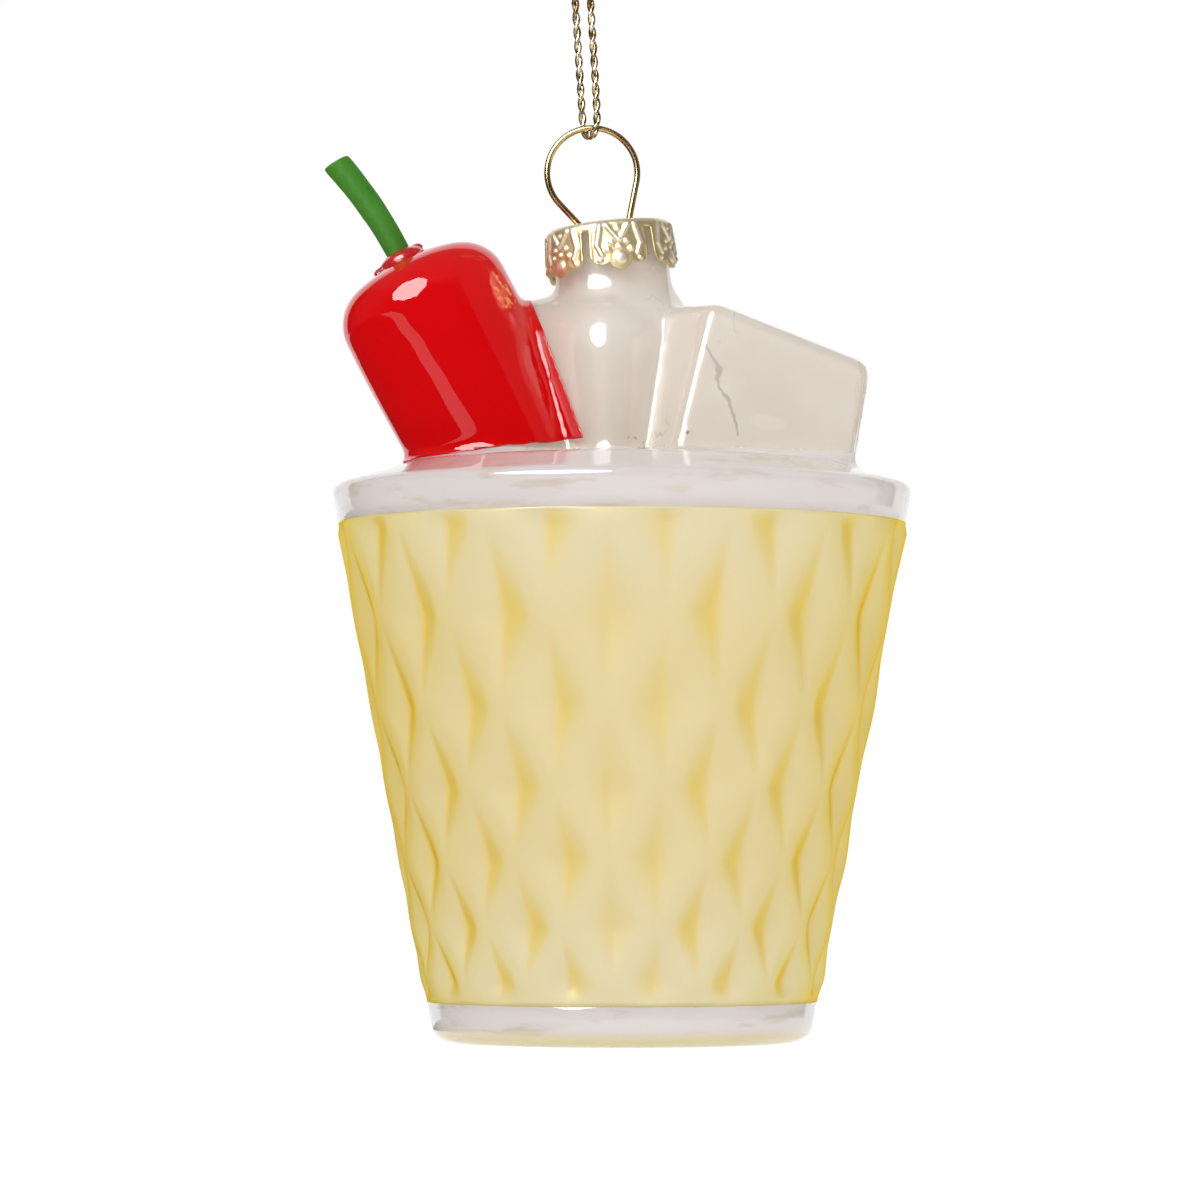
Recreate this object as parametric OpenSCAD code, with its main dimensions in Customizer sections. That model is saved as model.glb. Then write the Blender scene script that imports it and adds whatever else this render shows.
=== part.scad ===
// Hanging blown-glass ornament: a diamond-cut tumbler with ice and a chili garnish.
// The frame's origin is the top of the cord loop, where a hook or a branch holds it. +Z is up.

/* [Tumbler] */
// Diameter at the lower edge of the cut wall
foot_d = 48.5; // [42:0.5:54]
// Diameter at the top of the rim
rim_d = 72.6; // [66:0.2:80]
// Height of the plain band at the foot
foot_h = 5; // [4:0.5:8]
// Height of the diamond-cut wall
cut_h = 60; // [50:1:70]
// Height of the plain band at the rim
rim_h = 4.2; // [3:0.2:6]
// Rise of the shoulder from the rim to its flat top
shoulder_h = 2.8; // [2:0.2:5]
// Width of the sloping shoulder
shoulder_w = 9.5; // [7:0.5:11]
// Radius of the corner under the foot
foot_round = 2.5; // [1:0.5:3.5]
// Thickness of the blown glass
wall = 1.2; // [0.8:0.1:1.5]

/* [Diamond cut] */
// Diamonds around the wall
columns = 16; // [12:2:20]
// Steps between rows of diamonds from top to bottom
rows = 6; // [4:2:8]
// Height of each step as a share of the one above it
row_shrink = 0.9; // [0.8:0.05:1]
// Height of a diamond's point over the plain taper
point_h = 0.3; // [0.1:0.1:0.5]
// Depth of the valleys between diamonds
valley_h = 0.65; // [0.2:0.05:0.9]
// Plain strip between the rim band and the first row
cut_top = 0.8; // [0.4:0.2:2]
// Plain strip between the last row and the foot band
cut_bottom = 2.3; // [1:0.1:4]
// Turn of the pattern from the front
cut_turn = -3; // [-12:1:12]

/* [Ice] */
// Rise of the ice over the shoulder
ice_h = 20.5; // [17:0.5:26]
// Width of the middle lump, under the neck
lump_w = 20.5; // [19:0.5:23]
// Depth of the middle lump
lump_d = 20; // [19:0.5:23]
// Turn of the middle lump, a corner to the front
lump_turn = 42; // [35:1:50]
// Side of the cube on the right
cube_w = 25; // [22:0.5:27]
// Turn of the cube
cube_turn = 31; // [20:1:40]
// Distance of the cube's middle from the axis
cube_out = 14.8; // [13:0.2:15.6]
// Slope of the cube's top, down to the right
cube_slope = 20; // [12:1:25]
// Radius of the ice's edges
ice_round = 3.2; // [2.2:0.2:4.5]

/* [Chili] */
// Diameter where it leaves the ice
chili_foot_d = 20.8; // [18:0.2:22]
// Diameter under its crown
chili_d = 21.8; // [19:0.2:24]
// Length from the shoulder to the stem, along its axis
chili_l = 29; // [26:0.5:34]
// Lean to the left
chili_lean = 27; // [20:1:32]
// Distance of its foot from the tumbler's axis
chili_out = 14.5; // [13:0.5:16]
// Distance of its axis in front of the tumbler's axis
chili_front = 1.5; // [0:0.5:3]
// Radius of the crown's corner
crown_round = 5; // [4:0.5:6]
// Rise of the crown inside that corner
crown_h = 1.3; // [0.8:0.1:2]
// Height of the lower paint edge over the shoulder, on the chili's axis
paint_h = 2.4; // [1.5:0.1:4]
// Slope of the lower paint edge
paint_slope = 10; // [0:1:15]

/* [Stem] */
// Diameter at the chili
stem_d = 3; // [2.4:0.1:3.6]
// Diameter at the tip
stem_tip_d = 3.5; // [2.6:0.1:4.2]
// Length along its middle
stem_l = 14.5; // [10:0.5:18]
// Bend from end to end
stem_bend = 15; // [5:1:30]
// Slant of the cut tip
stem_slant = 12; // [0:1:25]
// Width of the glue collar around the stem
glue_w = 1.7; // [1:0.1:2.2]
// Height of the glue collar
glue_h = 1.1; // [0.6:0.1:1.6]

/* [Lacquer] */
// Thickness of the lacquer coats
lacquer = 0.12; // [0.08:0.02:0.3]

/* [Neck and cap] */
// Outer diameter of the glass neck
neck_d = 14.4; // [13:0.2:16]
// Height of the neck over the ice
neck_h = 9.2; // [8:0.2:12]
// Lean of the neck to the left
neck_lean = 6; // [0:1:8]
// Distance of the neck's foot left of the tumbler's axis
neck_out = 0.8; // [0:0.1:2]
// Radius of the fillet at the neck's foot
neck_fillet = 1.8; // [1:0.2:2.4]
// Thickness of the cap's sheet
sheet = 0.3; // [0.2:0.05:0.4]
// Gap between neck and cap
cap_gap = 0.3; // [0.2:0.05:0.5]
// Height of the cap with its skirt
skirt_h = 6.4; // [5.6:0.2:7]
// Spread of the skirt from top to tips
skirt_flare = 0.35; // [0:0.05:0.5]
// Lobes around the skirt
lobes = 6; // [5:1:8]
// Slit between two lobes
lobe_gap = 1.9; // [1.2:0.1:2.4]

/* [Hanger wire] */
// Diameter of the wire
wire_d = 0.78; // [0.6:0.02:1]
// Outer diameter of the ring
ring_d = 12.1; // [10:0.1:14]
// Height of the ring's middle over the cap
ring_rise = 7; // [6.4:0.1:8.4]
// Lean of the ring in the cap
ring_lean = 10; // [4:1:12]
// Angle of each leg to the ring's middle line
leg_angle = 27; // [24:1:32]
// Distance of the knees from the neck's middle
knee_out = 1; // [0.8:0.1:1.4]
// Radius of the knees
knee_r = 1.5; // [1:0.1:2]
// Depth of the leg tips under the cap's top
leg_depth = 14; // [12:0.5:16]
// Gap between leg tips and the neck's bore
leg_gap = 0.45; // [0.3:0.05:0.8]

/* [Cord] */
// Diameter of the cord
cord_d = 1; // [0.8:0.05:1.1]
// Diameter of the knot
knot_d = 3.6; // [3:0.1:4.5]
// Height of the knot
knot_h = 3.4; // [2.6:0.1:4.5]
// Length of the tails over the knot
tail_l = 7; // [4:0.5:12]

/* [Hidden] */
$fn = 96;
ice_fn = 24;
wire_sides = 12;
ring_step = 6;
bend_step = 12;

// Heights in the glass, from the underside of its foot
cut_z = foot_h + cut_h;
rim_z = cut_z + rim_h;
top_z = rim_z + shoulder_h;
ice_z = top_z + ice_h;
shoulder_r = rim_d / 2 - shoulder_w;
shoulder_ease = 2;
rim_ease = 1;
// The ice starts inside the hollow; the cube stands lower than the lump, and behind the axis
ice_root = rim_z - 3;
cube_drop = 0.5;
cube_back = 1;

// Radius of the plain taper at height z
function taper(z) = foot_d / 2 + (rim_d - foot_d) / 2 * (z - foot_h) / (rim_z - foot_h);

// Diamond rows: step i runs down from the rim, each step shorter than the one above
row_top = cut_z - cut_top;
row_span = cut_h - cut_top - cut_bottom;
function shrink_sum(i) = i == 0 ? 0 : shrink_sum(i - 1) + pow(row_shrink, i - 1);
function row_z(i) = row_top - row_span * shrink_sum(i) / shrink_sum(rows);

// Levels of the cut wall from bottom to top: plain edge, rows, plain edge
levels = concat([foot_h], [for (i = [rows:-1:0]) row_z(i)], [cut_z]);
around = 2 * columns;
function is_edge(k) = k == 0 || k == len(levels) - 1;
function is_valley(k, j) = (k + j) % 2 == rows % 2;
// The cut wall starts a fine step inside the plain bands
edge_step = 0.15;
function relief(k, j) = is_edge(k) ? -edge_step : is_valley(k, j) ? -valley_h : point_h;
function wall_point(k, j, out) =
    let (r = taper(levels[k]) + relief(k, j) + out, a = -90 + cut_turn + 360 * j / around)
    [r * cos(a), r * sin(a), levels[k]];
function wall_points(out) =
    [for (k = [0:len(levels) - 1]) for (j = [0:around - 1]) wall_point(k, j, out)];

// Two triangles for each cell, folded along the valley that crosses it
function cell(a, b, c, d, along_ac) = along_ac ? [[a, c, b], [a, d, c]] : [[a, d, b], [b, d, c]];
function turned(faces) = [for (f = faces) [f[2], f[1], f[0]]];
wall_faces = [
    for (k = [0:len(levels) - 2])
        for (j = [0:around - 1])
            let (n = (j + 1) % around, low = k * around, high = low + around)
            each cell(low + j, low + n, high + n, high + j, is_valley(k, j))
];

// Places of the cap and the glass, worked down from the wire under the cord
wire_at = [2.4, 0, -45.6];
cord_lean = 3;
wire_r = wire_d / 2;
ring_r = ring_d / 2 - wire_r;
function up(lean) = [-sin(lean), 0, cos(lean)];
ring_at = wire_at - ring_r * up(cord_lean);
cap_at = ring_at - ring_rise * up(neck_lean + ring_lean);
glass_at = cap_at - (neck_h + sheet) * up(neck_lean) + [neck_out, 0, -ice_z];

// The wire, drawn in the cap's own upright plane: across and up from the middle of its top.
// Each leg leaves the ring along its tangent, bends at a knee under the cap and spreads to the bore.
bore_r = neck_d / 2 - wall;
tip_out = bore_r - leg_gap - wire_r;
ring_mid = ring_rise * [-sin(ring_lean), cos(ring_lean)];
function toward(a) = [cos(a), sin(a)];
function leg_heading(s) = -90 - s * leg_angle + ring_lean;
function leg_start(s) = ring_mid + ring_r * toward(90 - s * (90 + leg_angle) + ring_lean);
function leg_knee(s) =
    let (p = leg_start(s), h = toward(leg_heading(s)))
    p + h * (s * knee_out - p[0]) / h[0];
function leg_tip(s) = [s * tip_out, -leg_depth];
function arc(middle, r, from, to, step) =
    let (n = ceil(abs(to - from) / step))
    [for (i = [0:n]) middle + r * toward(from + (to - from) * i / n)];
// Knee of a leg as an arc, in the order in which the wire runs through it
function leg_bend(s, inward) =
    let (knee = leg_knee(s), head_in = leg_heading(s), way = leg_tip(s) - knee)
    let (head_out = atan2(way[1], way[0]), cut = knee_r * tan(abs(head_out - head_in) / 2))
    let (middle = knee - cut * toward(head_in) + knee_r * toward(head_in + 90 * s))
    let (from = head_in - 90 * s, to = head_out - 90 * s)
    inward ? arc(middle, knee_r, to, from, bend_step) : arc(middle, knee_r, from, to, bend_step);
ring_arc = arc(ring_mid, ring_r, 180 + leg_angle + ring_lean, ring_lean - leg_angle, ring_step);
// Widest reach of a leg at the cap's top, which sizes the hole there
function leg_reach(s) =
    let (p = leg_start(s), h = toward(leg_heading(s)))
    abs(p[0] - h[0] * p[1] / h[1]) + wire_r / abs(h[1]);
hole_gap = 0.3;
hole_r = max(leg_reach(-1), leg_reach(1)) + hole_gap;

// Bend at the cap's edge, and the place of its first lobe, right of the front
edge_r = 3 * sheet;
lobe_turn = -82;
// The neck's lip is eased enough to clear the inside of that bend
lip_room = 0.2;
lip_ease = max(lip_room, edge_r - sheet - cap_gap + lip_room);

// Cord from the knot down the rear strand, under the wire and up the front strand
cord_route = [
    [-0.6, 0, 1], [-1.1, 0.1, -1], [-1.5, 0.2, -3], [-1.2, 0.3, -6], [-0.5, 0.4, -10],
    [0.1, 0.6, -20], [0.6, 0.8, -30], [1.2, 1, -40], [1.5, 1.15, -44.6], [1.7, 1.1, -45.8],
    [2, 0.75, -46.5], [2.4, 0, -46.8], [2.8, -0.75, -46.5], [3.1, -1.1, -45.8],
    [3.3, -1.15, -44.6], [3.1, -1, -40], [2.5, -0.8, -30], [2, -0.6, -20], [1.5, -0.4, -10],
    [1.6, -0.3, -6], [1.6, -0.2, -3], [1.1, -0.1, -1], [0.6, 0, 1]
];
cord_sides = 8;
cord_step = 2.5 * cord_d;
knot_z = cord_route[0][2];

// Points of a route, with more of them on its long runs
function spread(p, q) =
    let (n = max(1, ceil(norm(q - p) / cord_step)))
    [for (i = [0:n - 1]) p + (q - p) * i / n];
function finer(route) = concat(
    [for (i = [0:len(route) - 2]) each spread(route[i], route[i + 1])],
    [route[len(route) - 1]]);
function unit(v) = v / norm(v);
// Directions along a path, with given ones at its two ends
function headings(path, first, last) =
    let (end = len(path) - 1)
    [for (i = [0:end]) i == 0 ? first : i == end ? last : unit(path[i + 1] - path[i - 1])];
// Side vectors carried along the path without twist
function carried(heads, i, side) =
    let (s = unit(side - heads[i] * (side * heads[i])))
    i == len(heads) - 1 ? [s] : concat([s], carried(heads, i + 1, s));
function tube_ring(p, h, side, r, sides) =
    let (other = cross(h, side))
    [for (j = [0:sides - 1]) p + r * (cos(360 * j / sides) * side + sin(360 * j / sides) * other)];
function tube_faces(rings, sides) = concat(
    [[for (j = [0:sides - 1]) j]],
    [for (i = [0:rings - 2]) for (j = [0:sides - 1])
        let (n = (j + 1) % sides, low = i * sides, high = low + sides)
        each cell(low + j, low + n, high + n, high + j, true)],
    [[for (j = [sides - 1:-1:0]) (rings - 1) * sides + j]]);

// Depth of the chili's root inside the glass, under the shoulder's top
chili_root = 0.38 * chili_foot_d;

// Stem in the chili's frame: rings square to an arc that leans further left
stem_rings = 9;
stem_sides = 20;
stem_r = stem_d / 2;
bend_r = stem_l / (stem_bend * PI / 180);
function stem_ring(i) =
    let (t = i / (stem_rings - 1), a = stem_bend * t, tip = i == stem_rings - 1)
    let (r = stem_r + (stem_tip_d - stem_d) / 2 * t, cut = tip ? -tan(stem_slant) : 0)
    [for (j = [0:stem_sides - 1])
        let (x = r * cos(360 * j / stem_sides), y = r * sin(360 * j / stem_sides))
        [-bend_r * (1 - cos(a)) + x * cos(a) - x * cut * sin(a), y,
         bend_r * sin(a) + x * sin(a) + x * cut * cos(a)]];

// Glue collar: its gap to the stem, the middle of its cove, and the drops around it
glue_gap = 0.05;
glue_cove = 0.6;
glue_drops = 5;
drop_r = 0.4 * glue_w;
drop_h = 0.25 * glue_h;
drop_shift = 20;

// Outline of the knot, in shares of its radius and height
knot_outline = [[0, 0], [0.76, 0], [0.96, 0.2], [1, 0.45], [0.94, 0.75], [0.72, 1], [0, 1]];
tail_spread = 15;
tail_out = 0.6 * cord_d;

module in_glass() {
    translate(glass_at) children();
}

module on_cap() {
    translate(cap_at) rotate([0, -neck_lean, 0]) children();
}

// Frame of the chili: its axis from the shoulder's top up to the stem
module on_chili() {
    translate([-chili_out, -chili_front, top_z]) rotate([0, -chili_lean, 0]) children();
}

// Plain foot band, with a rounded corner under it
module foot_band() {
    r = taper(foot_round);
    rotate_extrude() {
        polygon([[0, 0], [r - foot_round, 0], [r, foot_round], [taper(foot_h), foot_h], [0, foot_h]]);
        translate([r - foot_round, foot_round]) circle(foot_round);
    }
}

// Plain rim band and the shoulder over it, with its edges eased
module rim_band() {
    rotate_extrude()
        polygon([[0, cut_z], [taper(cut_z), cut_z], [taper(rim_z - rim_ease), rim_z - rim_ease],
                 [rim_d / 2 - rim_ease / 3, rim_z], [shoulder_r + shoulder_ease, top_z - shoulder_ease / 3],
                 [shoulder_r, top_z], [0, top_z]]);
}

// Diamond-cut wall as a solid frustum
module cut_wall() {
    last = len(levels) - 1;
    polyhedron(wall_points(0), concat(
        wall_faces,
        [[for (j = [0:around - 1]) j]],
        [[for (j = [around - 1:-1:0]) last * around + j]]));
}

// Smooth hollow of the tumbler
module tumbler_hollow() {
    inset = wall + valley_h;
    foot_r = taper(foot_round) - foot_round - wall / 2;
    rotate_extrude()
        polygon([[0, wall], [foot_r, wall], [taper(foot_h) - inset, foot_h],
                 [taper(rim_z) - inset, rim_z - wall / 2], [shoulder_r, top_z - wall], [0, top_z - wall]]);
}

// Rounded block from root to top; its top slopes down along x from a quarter of its width
module ice_block(w, d, turn, root, top, slope, inset) {
    r = ice_round - inset;
    hull()
        for (x = [-1, 1]) for (y = [-1, 1])
            let (px = x * (w / 2 - ice_round), py = y * (d / 2 - ice_round))
            let (across = px * cos(turn) - py * sin(turn), back = px * sin(turn) + py * cos(turn))
            let (drop = tan(slope) * max(0, across + w / 4)) {
                translate([across, back, root]) sphere(r, $fn = ice_fn);
                translate([across, back, top - ice_round - drop]) sphere(r, $fn = ice_fn);
            }
}

// Middle lump under the neck, and a cube on its right that stands a little lower
module ice(inset) {
    translate([-neck_out, 0, 0])
        ice_block(lump_w, lump_d, lump_turn, ice_root, ice_z, 0, inset);
    translate([cube_out, cube_back, 0])
        ice_block(cube_w, cube_w, cube_turn, ice_root - 2 * cube_drop, ice_z - cube_drop, cube_slope, inset);
}

// Half outline of the chili, from deep inside the ice to the seat of the stem
module chili_outline(inset) {
    side_r = chili_d / 2 - inset;
    seat_r = stem_r + glue_w / 2;
    corner = [chili_d / 2 - crown_round, chili_l - crown_h - crown_round];
    difference() {
        union() {
            polygon([[0, -chili_root], [chili_foot_d / 2 - inset, -chili_root], [side_r, corner[1]],
                     [corner[0], chili_l - crown_h - inset], [seat_r, chili_l - inset],
                     [0, chili_l - inset]]);
            translate(corner) circle(crown_round - inset);
        }
        translate([-chili_d, -chili_root]) square([chili_d, chili_root + chili_l]);
    }
}

module chili(inset) {
    on_chili() rotate_extrude() chili_outline(inset);
}

// Neck with a fillet at its foot, standing on the ice
module neck() {
    r = neck_d / 2;
    translate([-neck_out, 0, ice_z]) rotate([0, -neck_lean, 0]) rotate_extrude() {
        polygon([[0, -ice_round], [r, -ice_round], [r, neck_h - lip_ease],
                 [r - lip_ease, neck_h], [0, neck_h]]);
        difference() {
            translate([0, -ice_round]) square([r + neck_fillet, ice_round + neck_fillet]);
            translate([r + neck_fillet, neck_fillet]) circle(neck_fillet);
        }
    }
}

module neck_bore() {
    translate([-neck_out, 0, ice_z]) rotate([0, -neck_lean, 0])
        translate([0, 0, -ice_round - wall]) cylinder(r = bore_r, h = neck_h + ice_round + wall + 1);
}

module glass_body() {
    color("#e6e1da") in_glass() difference() {
        union() {
            foot_band();
            cut_wall();
            rim_band();
            ice(0);
            chili(0);
            neck();
        }
        tumbler_hollow();
        ice(wall);
        chili(wall);
        neck_bore();
    }
}

// Coat on the cut wall: the wall's own facets, and the same moved out by the coat
module yellow_lacquer() {
    last = len(levels) - 1;
    count = len(levels) * around;
    edges = [for (j = [0:around - 1])
        let (n = (j + 1) % around, top = last * around)
        each concat(cell(j, n, count + n, count + j, true),
                    turned(cell(top + j, top + n, count + top + n, count + top + j, true)))];
    color("#e6cf6b") in_glass()
        polyhedron(concat(wall_points(0), wall_points(lacquer)), concat(
            turned(wall_faces),
            [for (f = wall_faces) [f[0] + count, f[1] + count, f[2] + count]],
            edges));
}

// Coat on the chili, down to its paint edge over the shoulder
module red_lacquer() {
    color("#cf1016") in_glass() difference() {
        on_chili() rotate_extrude() difference() {
            chili_outline(-lacquer);
            chili_outline(0);
        }
        ice(0);
        rim_band();
        translate([-chili_out, 0, top_z + paint_h]) rotate([0, -paint_slope, 0])
            translate([-rim_d, -rim_d, -rim_d]) cube([2 * rim_d, 2 * rim_d, rim_d]);
        on_chili() translate([0, 0, chili_l]) cylinder(r = stem_r + glue_w, h = 2 * crown_h, center = true);
    }
}

module chili_stem() {
    color("#4f9a2e") in_glass() on_chili() translate([0, 0, chili_l])
        polyhedron([for (i = [0:stem_rings - 1]) each stem_ring(i)],
                   tube_faces(stem_rings, stem_sides));
}

// Collar of glue: a cove from the stem down to the crown, with drops around it
module stem_glue() {
    inner_r = stem_r + glue_gap;
    cove_r = stem_r + glue_cove * glue_w;
    color("#c81a1c") in_glass() difference() {
        on_chili() translate([0, 0, chili_l]) {
            rotate_extrude()
                polygon([[inner_r, -crown_h], [stem_r + glue_w, -crown_h], [stem_r + glue_w, -glue_h / 4],
                         [cove_r, glue_cove * glue_h], [inner_r, glue_h]]);
            for (i = [0:glue_drops - 1]) rotate([0, 0, 360 * i / glue_drops + drop_shift * (i % 2)])
                translate([cove_r, 0, drop_h]) sphere(drop_r);
        }
        chili(0);
    }
}

// Cap: one sheet from the hole in its top, over a rounded edge and down the skirt
module crown_cap() {
    top_r = neck_d / 2 + cap_gap + sheet;
    bend = [top_r - edge_r, -edge_r];
    color("#cdb367") on_cap() difference() {
        rotate_extrude() polygon([
            [hole_r, 0],
            for (a = [90:-15:0]) bend + edge_r * [cos(a), sin(a)],
            [top_r + skirt_flare, -skirt_h],
            [top_r + skirt_flare - sheet, -skirt_h],
            for (a = [0:15:90]) bend + (edge_r - sheet) * [cos(a), sin(a)],
            [hole_r, -sheet]]);
        for (i = [0:lobes - 1]) rotate([0, 0, 360 * (i + 0.5) / lobes + lobe_turn])
            lobe_slit(top_r);
    }
}

// Opening between two round lobes of the skirt, cut outward
module lobe_slit(r) {
    pitch = PI * r / lobes;
    lobe_r = pitch - lobe_gap / 2;
    lobe_z = -skirt_h + lobe_r;
    translate([r / 2, 0, 0]) rotate([90, 0, 90]) linear_extrude(r) {
        difference() {
            translate([-pitch, -skirt_h - 1]) square([2 * pitch, lobe_r + 1]);
            for (s = [-1, 1]) translate([s * pitch, lobe_z]) circle(lobe_r);
        }
        translate([0, lobe_z]) circle(lobe_gap / 2);
    }
}

// Round tube along a path, as one skin
module tube(path, first, last, side, r, sides) {
    heads = headings(path, first, last);
    across = carried(heads, 0, side);
    polyhedron([for (i = [0:len(path) - 1]) each tube_ring(path[i], heads[i], across[i], r, sides)],
               tube_faces(len(path), sides));
}

module hanger_wire() {
    flat = concat([leg_tip(-1)], leg_bend(-1, true), ring_arc, leg_bend(1, false), [leg_tip(1)]);
    path = [for (p = flat) [p[0], 0, p[1]]];
    end = len(path) - 1;
    color("#8d6f33") on_cap()
        tube(path, unit(path[1] - path[0]), unit(path[end] - path[end - 1]), [0, 1, 0], wire_r, wire_sides);
}

module hanging_cord() {
    color("#b8973f")
        tube(finer(cord_route), [0, 0, -1], [0, 0, 1], [1, 0, 0], cord_d / 2, cord_sides);
}

module cord_knot() {
    color("#b8973f") translate([0, 0, knot_z]) {
        rotate_extrude()
            polygon([for (p = knot_outline) [p[0] * knot_d / 2, p[1] * knot_h]]);
        for (s = [-1, 1]) translate([s * tail_out, 0, knot_h - cord_d / 2])
            rotate([0, s * tail_spread, 0]) cylinder(d = cord_d, h = tail_l);
    }
}

glass_body();
yellow_lacquer();
red_lacquer();
chili_stem();
stem_glue();
crown_cap();
hanger_wire();
hanging_cord();
cord_knot();
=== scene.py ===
"""Looks of a hanging blown-glass ornament: a diamond-cut tumbler with ice and a chili garnish.

Shapes are drawn in millimetres, in the glass's own frame (underside of its foot at zero) or the
cap's (middle of its top at zero), and are put in the part's frame, in metres, when a piece is made.
"""
import math

import bmesh
import bpy
from mathutils import Matrix, Vector, geometry, noise


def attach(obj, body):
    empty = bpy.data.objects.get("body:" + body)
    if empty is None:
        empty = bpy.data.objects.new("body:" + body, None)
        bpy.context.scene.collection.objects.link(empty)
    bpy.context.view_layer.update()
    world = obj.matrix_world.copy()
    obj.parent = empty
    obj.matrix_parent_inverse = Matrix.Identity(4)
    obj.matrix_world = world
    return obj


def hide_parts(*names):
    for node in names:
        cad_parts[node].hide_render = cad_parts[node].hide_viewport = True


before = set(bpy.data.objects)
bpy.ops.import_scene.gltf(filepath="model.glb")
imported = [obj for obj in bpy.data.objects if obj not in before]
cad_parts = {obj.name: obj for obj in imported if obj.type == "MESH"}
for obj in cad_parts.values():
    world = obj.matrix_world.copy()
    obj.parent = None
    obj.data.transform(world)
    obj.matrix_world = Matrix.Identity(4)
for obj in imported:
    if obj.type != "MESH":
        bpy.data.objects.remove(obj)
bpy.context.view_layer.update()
scene = bpy.context.scene
MM = 0.001

# Tumbler
FOOT_R, RIM_R = 24.25, 36.3
FOOT_H, CUT_Z, RIM_Z, TOP_Z, ICE_Z = 5.0, 65.0, 69.2, 72.0, 92.5
FOOT_ROUND = 2.5
# the shoulder's slope, and how far inside the rim's radius its line meets the rim's height
SHOULDER_SLOPE, SHOULDER_INSET = 0.2977, 0.333
# glass, and lacquer drawn thicker than the real film
WALL, COAT = 1.2, 0.12
# Diamond cut: 16 diamonds round the wall, and six steps from row to row, each shorter than the last
COLUMNS = 32
HALF_PITCH = math.radians(360 / COLUMNS)
CUT_TURN = math.radians(-3)
ROW_TOP, ROW_SPAN, ROW_SHRINK, ROWS = 64.2, 56.9, 0.9, 6
COAT_TOP = 64.5
# Where the diamonds meet there is a pit: its depth, its reach sideways and up and down as shares of
# half a column and of a row, and how far its crease bends outward
PIT_DEPTH, PIT_REACH, PIT_RUN, PIT_BEND = 0.95, 0.68, 0.92, 0.2
# The wall between stands proud of the plain taper, and swells and sinks a little from cell to cell
POINT_H, WAVE = 0.2, 0.2
# Grid lines of the coat across each half diamond
CELL_STEPS = 12
# Chili
CHILI_AT, CHILI_LEAN, CHILI_L, CHILI_R = Vector((-14.5, -1.5, TOP_Z)), math.radians(27), 29.0, 10.9
# Neck and cap
NECK_AT, NECK_LEAN, NECK_R, NECK_H = Vector((-0.8, 0, ICE_Z)), math.radians(6), 7.2, 9.2
SHEET, CAP_GAP, SKIRT_H, SKIRT_FLARE, LOBES = 0.3, 0.3, 6.4, 0.35, 6
HOLE_R, LOBE_TURN, CAP_ROUND, STAMP_H = 3.9, math.radians(-82), 0.9, 0.27
# Stem, and the slant of the cut at its tip
STEM_R, STEM_TIP_R, STEM_L, STEM_BEND = 1.5, 1.75, 14.5, math.radians(15)
TIP_CUT = math.radians(12)
# Studio, in metres: what the lamps are turned to, the floor's height, and the place of the key light
AIM_AT, FLOOR_Z, KEY_AT = (0.004, 0, -0.10), -0.26, (-0.42, -0.75, 0.42)

TO_METRES = Matrix.Scale(MM, 4)
IN_GLASS = TO_METRES @ Matrix.Translation((6.4187, 0, -159.929))
ON_CAP = TO_METRES @ Matrix.Translation((4.6257, 0, -57.981)) @ Matrix.Rotation(-NECK_LEAN, 4, "Y")
ON_NECK = Matrix.Translation(NECK_AT) @ Matrix.Rotation(-NECK_LEAN, 4, "Y")
ON_CHILI = Matrix.Translation(CHILI_AT) @ Matrix.Rotation(-CHILI_LEAN, 4, "Y")


def linear(code):
    """An sRGB hex colour as linear RGBA."""
    parts = [int(code[i:i + 2], 16) / 255 for i in (1, 3, 5)]
    return tuple(c / 12.92 if c <= 0.04045 else ((c + 0.055) / 1.055) ** 2.4 for c in parts) + (1.0,)


def add(tree, kind, inputs=None, **settings):
    """Adds a node with its settings; inputs maps a socket to a value or to another node's output."""
    made = tree.nodes.new("ShaderNode" + kind)
    for key, value in settings.items():
        setattr(made, key, value)
    for key, value in (inputs or {}).items():
        if isinstance(value, bpy.types.NodeSocket):
            tree.links.new(value, made.inputs[key])
        else:
            made.inputs[key].default_value = value
    return made


def new_material(name):
    """An empty material, its node tree, its output and the piece's own coordinates."""
    made = bpy.data.materials.new(name)
    made.use_nodes = True
    tree = made.node_tree
    tree.nodes.clear()
    return made, tree, add(tree, "OutputMaterial"), add(tree, "TexCoord").outputs["Object"]


# Camera and stage

def set_camera():
    """Long lens a little above the foot's height, tipped up, as the photograph was taken."""
    data = bpy.data.cameras.new("camera")
    camera = bpy.data.objects.new("camera", data)
    scene.collection.objects.link(camera)
    eye, aim = Vector((0.00367, -0.65, -0.1356)), Vector((0.00367, 0, -0.1049))
    # the picture is 150 mm wide where it is aimed
    field = 0.150
    data.sensor_width = 36
    data.lens = data.sensor_width * (aim - eye).length / field
    data.clip_start, data.clip_end = 0.01, 50
    camera.location = eye
    camera.rotation_euler = (aim - eye).to_track_quat("-Z", "Y").to_euler()
    scene.camera = camera


def add_lamp(name, place, wide, tall, power):
    """A soft panel turned to the ornament, kept out of mirrors, which show the drawn room instead."""
    data = bpy.data.lights.new(name, "AREA")
    data.shape = "RECTANGLE"
    data.size, data.size_y = wide, tall
    data.energy = power
    lamp = bpy.data.objects.new(name, data)
    scene.collection.objects.link(lamp)
    lamp.visible_glossy = False
    lamp.location = place
    lamp.rotation_euler = (Vector(AIM_AT) - Vector(place)).to_track_quat("-Z", "Y").to_euler()


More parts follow.
